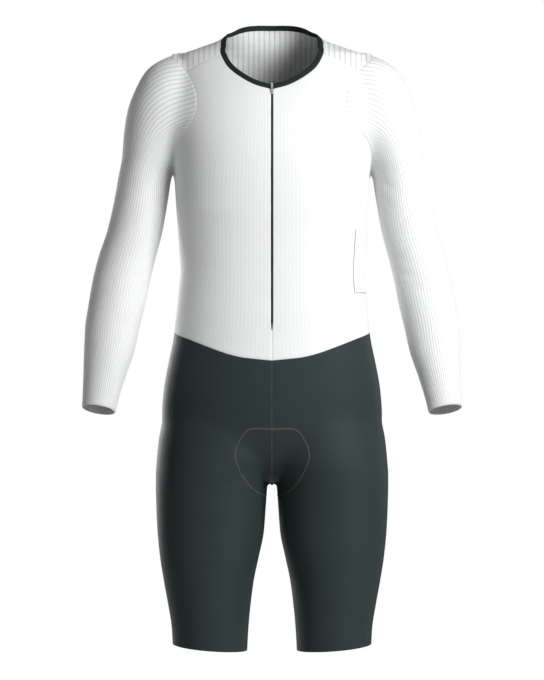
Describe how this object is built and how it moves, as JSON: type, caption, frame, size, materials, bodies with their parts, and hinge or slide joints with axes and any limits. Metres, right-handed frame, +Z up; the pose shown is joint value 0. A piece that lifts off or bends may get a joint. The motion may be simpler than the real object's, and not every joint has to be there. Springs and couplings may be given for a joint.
{
  "type": "cycling skinsuit",
  "caption": "Long-sleeved cycling skinsuit in its worn shape, with ribbed sleeves, bound low collar, front zip and dark shorts.",
  "frame": {"origin": "where the wearer's shoulders and the base of the neck carry the suit, in its middle plane", "axes": "+Z up, from the leg hems to the collar; -Y the front with the zip; +X the wearer's left"},
  "size_m": [0.5992, 0.2435, 1.0055],
  "materials": {
    "white_cloth": "matt white knit",
    "ribbed_cloth": "matt white ribbed knit",
    "dark_cloth": "satin charcoal knit",
    "zip_tape": "black tape and coil",
    "metal": "grey lacquer"
  },
  "bodies": {
    "suit": {"front_left": "white_cloth", "front_right": "white_cloth", "back": "white_cloth", "side_pocket": "white_cloth", "sleeve_left": "ribbed_cloth", "sleeve_right": "ribbed_cloth", "shorts_left": "dark_cloth", "shorts_right": "dark_cloth", "collar_binding": "dark_cloth", "zip": "zip_tape", "zip_slider": "metal"},
    "pull": {"zip_pull": "metal"}
  },
  "joints": [
    {"name": "pull_swing", "type": "hinge", "parent": "suit", "child": "pull", "pos_m": [0, -0.09759, -0.06867], "axis": [-1, 0, 0], "range_deg": [0, 120]}
  ]
}
